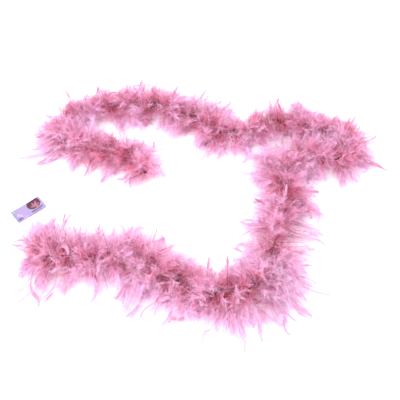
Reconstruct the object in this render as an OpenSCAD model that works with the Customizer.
// Feather boa laid out in a loose, folded S on a flat surface.
// A limp twisted core cord carries a ruff of soft down and longer plumes
// along its whole length. The cord is divided into stretches that turn on
// one another, so that the boa can be draped, coiled and folded.
// Millimetres, +Z up, resting surface at Z = 0.

/* [Core cord] */
// Diameter of the twisted core cord
cord_d = 4; // [3:0.5:4.5]
// Diameter of the knuckle where two stretches of cord meet
knuckle_d = 6.4; // [6:0.2:7]
// Gap between a knuckle and the next stretch of cord
cord_gap = 0.6; // [0.4:0.1:0.8]

/* [Down ruff] */
// Height of the cord above the surface, which is half the thickness of the pressed down
lie_h = 24; // [22:1:25]
// Radial clearance between the down and the cord that it is bound round
down_clear = 0.6; // [0.4:0.1:0.8]
// Radius of the down where it closes in on a knuckle
down_end_r = 7; // [6:0.5:7]
// Distance from the knuckle at which the down is at its full thickness
down_full = 21; // [20.5:0.5:23]

/* [Plumes] */
// Thickness of a plume's closed vane
plume_t = 0.8; // [0.6:0.1:1]
// Share of a plume's width at its base
plume_root = 0.2; // [0.15:0.05:0.3]

/* [End bindings] */
// Thickness of the thread binding round each end of the cord
binding_t = 2.4; // [1.8:0.2:2.8]

/* [Hang tag] */
// Length of the card
tag_l = 60; // [56:1:64]
// Width of the card
tag_w = 32; // [30:1:34]
// Thickness of the card
tag_t = 0.5; // [0.4:0.1:0.6]
// Diameter of the hole in the card's corner
tag_hole_d = 4; // [3.5:0.5:5]
// Diameter of the tag's thread loop
thread_d = 1; // [0.8:0.1:1]

/* [Hidden] */

deep_pink = [0.78, 0.42, 0.55];
soft_pink = [0.92, 0.64, 0.78];
pale_pink = [0.97, 0.75, 0.87];
card_white = [0.93, 0.91, 0.96];

// Route of the cord, seen from above, from the tagged end to the other end.
route = [
    [-282, -132], [-250, -140], [-215, -146], [-178, -146],
    [-140, -143], [-105, -150], [-70, -168], [-35, -188],
    [0, -203], [38, -210], [75, -204], [106, -184],
    [125, -152], [134, -115], [141, -75], [150, -35],
    [160, 5], [164, 40], [169, 68], [186, 86], [212, 92],
    [238, 91], [265, 90], [290, 100], [300, 125], [290, 150], [265, 160],
    [236, 165], [205, 173], [174, 180], [142, 179],
    [110, 168], [80, 157], [48, 158], [16, 175],
    [-16, 197], [-50, 219], [-88, 233], [-126, 236],
    [-164, 235], [-202, 234], [-240, 229], [-269, 211],
    [-282, 180], [-271, 148], [-244, 124], [-210, 109],
    [-176, 101], [-148, 91], [-124, 72], [-103, 48]
];

// Points of the route where one stretch ends and the next begins.
stops = [0, 4, 8, 12, 16, 21, 27, 31, 35, 39, 43, 47, 50];

// Half thickness of the down on each stretch, as a share of lie_h.
fullness = [1, 1, 1, 1, 1, 0.85, 1, 1, 1, 1, 1, 1];

// Knuckles that turn about an upright axis; the others turn about a level one.
upright = [false, true, false, true, false, true, false, true, false, true, false];

// Smooth curve through the route's points.
function end_of(i) = i < 0 ? 2 * route[0] - route[1]
    : i >= len(route) ? 2 * route[len(route) - 1] - route[len(route) - 2]
    : route[i];
function whole(s) = min(floor(s), len(route) - 2);
function curve(a, b, c, d, t) =
    0.5 * (2 * b + (c - a) * t + (2 * a - 5 * b + 4 * c - d) * t * t
    + (3 * b - a - 3 * c + d) * t * t * t);
function slope(a, b, c, d, t) =
    0.5 * ((c - a) + 2 * (2 * a - 5 * b + 4 * c - d) * t
    + 3 * (3 * b - a - 3 * c + d) * t * t);
function flat_at(s) = let (i = whole(s))
    curve(end_of(i - 1), route[i], route[i + 1], end_of(i + 2), s - i);
function along(s) = let (i = whole(s),
    v = slope(end_of(i - 1), route[i], route[i + 1], end_of(i + 2), s - i))
    v / norm(v);
function at(s) = let (p = flat_at(s)) [p[0], p[1], lie_h];
function heading(s) = let (v = along(s)) atan2(v[1], v[0]);

// Steps along the route that are d mm after or before a point of it.
function after(i, d) = i + d / norm(route[i + 1] - route[i]);
function before(i, d) = i - d / norm(route[i] - route[i - 1]);

// Stations of a stretch of down: closed in at both ends, full between.
function down_stations(a, b) = concat(
    a == 0 ? [0.56] : [after(a, 6), after(a, down_full)],
    [for (i = [a + 1 : b - 1]) i],
    b == len(route) - 1 ? [before(b, 12)] : [before(b, down_full), before(b, 6)]
);
function cord_stations(a, b) = concat(
    a == 0 ? [0] : [after(a, knuckle_d / 2 + cord_gap)],
    down_stations(a, b),
    [b]
);

// Eight corners round the cord's centre line at one station.
sides = 8;
function ring(s, r) = let (p = at(s), v = along(s))
    [for (k = [0 : sides - 1]) let (a = 22.5 + 45 * k)
        p + r * cos(a) * [-v[1], v[0], 0] + r * sin(a) * [0, 0, 1]];
function flatten(rows) = [for (row = rows) for (p = row) p];
function skin(n, first) = [for (i = [0 : n - 2]) for (k = [0 : sides - 1])
    let (m = (k + 1) % sides, q = first + i * sides)
    each [[q + k, q + m, q + sides + m], [q + k, q + sides + m, q + sides + k]]];
function turned(faces) = [for (f = faces) [f[2], f[1], f[0]]];

// Solid tube along the route.
module tube(stations, r) {
    n = len(stations);
    polyhedron(
        points = flatten([for (s = stations) ring(s, r)]),
        faces = concat(
            turned(skin(n, 0)),
            [for (k = [1 : sides - 2]) [0, k, k + 1]],
            [for (k = [1 : sides - 2])
                let (q = (n - 1) * sides) [q, q + k + 1, q + k]]
        ),
        convexity = 8
    );
}

// Hollow sleeve along the route, with its own outer radius at each station.
module sleeve(stations, outer, inner) {
    n = len(stations);
    far = n * sides;
    polyhedron(
        points = concat(
            flatten([for (i = [0 : n - 1]) ring(stations[i], outer[i])]),
            flatten([for (s = stations) ring(s, inner)])
        ),
        faces = concat(
            turned(skin(n, 0)),
            skin(n, far),
            [for (k = [0 : sides - 1]) let (m = (k + 1) % sides)
                each [[k, m, far + m], [k, far + m, far + k]]],
            [for (k = [0 : sides - 1]) let (m = (k + 1) % sides, q = (n - 1) * sides)
                each [[q + k, far + q + m, q + m], [q + k, far + q + k, far + q + m]]]
        ),
        convexity = 12
    );
}

// Knuckle at the end of a stretch, round about the axis that it turns on.
module knuckle(j) {
    s = stops[j + 1];
    translate(at(s)) rotate([0, 0, heading(s)])
        rotate([upright[j] ? 0 : 90, 0, 0])
            cylinder(d = knuckle_d, h = 6, center = true, $fn = 48);
}

module core_cord(j) {
    color(deep_pink) union() {
        tube(cord_stations(stops[j], stops[j + 1]), cord_d / 2);
        if (j < len(stops) - 2) knuckle(j);
    }
}

// Radius at the corners of the down, so that its flats are lie_h from the cord.
function down_r(j, s) = let (full = fullness[j] * lie_h / cos(22.5),
    a = stops[j], b = stops[j + 1])
    (a > 0 && s < after(a, down_full) - 0.001)
        || (b < len(route) - 1 && s > before(b, down_full) + 0.001)
        ? down_end_r
        : (s < 0.9 || s > len(route) - 1.5) ? 12 : full;

module down_ruff(j) {
    st = down_stations(stops[j], stops[j + 1]);
    color(soft_pink)
        sleeve(st, [for (s = st) down_r(j, s)], cord_d / 2 + down_clear);
}

// One long plume: base at a step along the route, then compass heading,
// rise above level, length from the cord's centre and width.
module plume(s, az, rise, length, width) {
    translate(at(s)) rotate([0, -rise, az])
        translate([0, 0, -plume_t / 2]) linear_extrude(plume_t)
            polygon([
                [6, -width * plume_root / 2],
                [length * 0.35, -width * 0.42],
                [length * 0.6, -width * 0.5],
                [length * 0.85, -width * 0.32],
                [length, 0],
                [length * 0.85, width * 0.32],
                [length * 0.6, width * 0.5],
                [length * 0.35, width * 0.42],
                [6, width * plume_root / 2]
            ]);
}

// Plumes of each stretch: [step, heading, rise, length, width].
plume_rows = [
    [[1.1, 76, 24, 96, 12], [1.3, -105, -8, 85, 14], [2.1, 100, 58, 70, 12], [2.8, -88, -8, 86, 12]],
    [[5.3, 64, 44, 90, 12], [5.9, -118, -8, 108, 12], [6.9, -108, -8, 84, 12]],
    [[9.2, 95, 60, 72, 12], [9.5, -86, -9, 105, 13], [10.2, -72, -9, 95, 13], [10.8, -34, -6, 105, 14]],
    [[13.4, -12, 2, 97, 12], [13.9, 172, 3, 76, 12], [14.5, 70, 66, 76, 12], [15, -12, 4, 76, 12]],
    [[17.3, 176, 9, 98, 12], [17.6, -12, -10, 60, 12], [18.4, 120, 60, 66, 12]],
    [[23.2, -25, -4, 92, 14], [23.9, 5, 34, 70, 12], [24.8, 55, 20, 60, 12]],
    [[28.4, 72, 28, 62, 12], [29, 100, 60, 70, 12], [29.8, 88, 20, 66, 12]],
    [[32.8, -110, -9, 64, 12], [33, 60, 56, 68, 12], [33.6, 64, 16, 90, 12]],
    [[36.4, 68, 30, 62, 12], [37.3, 84, 14, 70, 12], [38, 92, 13, 78, 12]],
    [[40.4, 92, 16, 66, 12], [40.9, 40, 60, 66, 12], [41.5, 132, 22, 62, 12]],
    [[44.4, -162, -6, 121, 14], [45, 120, 58, 66, 12], [45.8, -102, -14, 60, 12]],
    [[48.6, 50, 44, 56, 12], [49, -142, -14, 54, 12]]
];

module plumes(j) {
    color(pale_pink)
        for (p = plume_rows[j]) plume(p[0], p[1], p[2], p[3], p[4]);
}

// Thread binding round a cord end.
module end_binding(s) {
    color(deep_pink) translate(at(s)) rotate([0, 0, heading(s)]) rotate([0, 90, 0])
        rotate_extrude($fn = 48)
            translate([cord_d / 2 + 0.1 + binding_t / 2, 0])
                circle(d = binding_t, $fn = 24);
}

// The card lies on its thread, turned by tag_turn, with its hole in one corner.
tag_turn = 40;
tag_at = [-326, -24];
tag_lift = 1.2;
hole_at = [-25.5, 11.5];

module tag_card() {
    color(card_white)
        translate([tag_at[0], tag_at[1], tag_lift]) rotate([0, 0, tag_turn])
            difference() {
                translate([-tag_l / 2, -tag_w / 2, 0]) cube([tag_l, tag_w, tag_t]);
                translate([hole_at[0], hole_at[1], -1])
                    cylinder(d = tag_hole_d, h = tag_t + 2, $fn = 48);
            }
}

// Thread loop: round the cord, along the surface, over the card, down
// through its hole, under the card and back.
loop = [
    [-266, -119, 15], [-267, -128, 21.5], [-268, -132.5, 26], [-268.6, -135.4, 27.8],
    [-269.3, -138, 26.8], [-269.6, -139.2, 24], [-269.3, -138, 21.2], [-268.6, -135.4, 20.2],
    [-267.4, -131, 19], [-264.5, -122, 13], [-262, -112, 6], [-261, -102, 1.6],
    [-265, -90, 0.6], [-276, -82, 0.6], [-292, -78, 0.6], [-312, -74, 0.6],
    [-332, -66, 0.6], [-346, -54, 0.6], [-351.6, -42, 0.6], [-352.8, -35, 0.6],
    [-352.9, -32, 0.8], [-352.9, -31.5, 1.5], [-352.9, -32.2, 2.4], [-353.6, -35, 2.7],
    [-354.6, -42, 2.4], [-348.6, -56.4, 0.8], [-333.4, -69, 0.6], [-312.8, -77, 0.6],
    [-291.6, -81.2, 0.6], [-277, -85, 0.6], [-267.8, -92, 0.6], [-264.2, -102, 2],
    [-265, -112, 7.5], [-266, -119, 13]
];

function unit(v) = v / norm(v);
function way(i) = unit(loop[min(i + 1, len(loop) - 1)] - loop[max(i - 1, 0)]);
function square_to(v, w) = unit(v - (v * w) * w);
// Sideways direction carried from ring to ring without twisting.
function carried(i) = i == 0 ? square_to([1, 0, 0], way(0))
    : square_to(carried(i - 1), way(i));
function loop_ring(i, r) = let (u = carried(i), v = cross(way(i), u))
    [for (k = [0 : sides - 1]) loop[i] + r * cos(45 * k) * u + r * sin(45 * k) * v];

module tag_thread() {
    n = len(loop);
    color(card_white) union() {
        polyhedron(
            points = flatten([for (i = [0 : n - 1]) loop_ring(i, thread_d / 2)]),
            faces = concat(
                turned(skin(n, 0)),
                [for (k = [1 : sides - 2]) [0, k, k + 1]],
                [for (k = [1 : sides - 2])
                    let (q = (n - 1) * sides) [q, q + k + 1, q + k]]
            ),
            convexity = 12
        );
        // Knot that joins the thread's two ends
        translate([-266, -119, 14]) sphere(r = 1.5, $fn = 24);
    }
}

core_cord(0);  // core_cord_01
core_cord(1);  // core_cord_02
core_cord(2);  // core_cord_03
core_cord(3);  // core_cord_04
core_cord(4);  // core_cord_05
core_cord(5);  // core_cord_06
core_cord(6);  // core_cord_07
core_cord(7);  // core_cord_08
core_cord(8);  // core_cord_09
core_cord(9);  // core_cord_10
core_cord(10);  // core_cord_11
core_cord(11);  // core_cord_12
down_ruff(0);  // down_ruff_01
down_ruff(1);  // down_ruff_02
down_ruff(2);  // down_ruff_03
down_ruff(3);  // down_ruff_04
down_ruff(4);  // down_ruff_05
down_ruff(5);  // down_ruff_06
down_ruff(6);  // down_ruff_07
down_ruff(7);  // down_ruff_08
down_ruff(8);  // down_ruff_09
down_ruff(9);  // down_ruff_10
down_ruff(10);  // down_ruff_11
down_ruff(11);  // down_ruff_12
plumes(0);  // plumes_01
plumes(1);  // plumes_02
plumes(2);  // plumes_03
plumes(3);  // plumes_04
plumes(4);  // plumes_05
plumes(5);  // plumes_06
plumes(6);  // plumes_07
plumes(7);  // plumes_08
plumes(8);  // plumes_09
plumes(9);  // plumes_10
plumes(10);  // plumes_11
plumes(11);  // plumes_12
end_binding(0.2);  // end_binding_a
end_binding(49.8);  // end_binding_b
tag_thread();
tag_card();
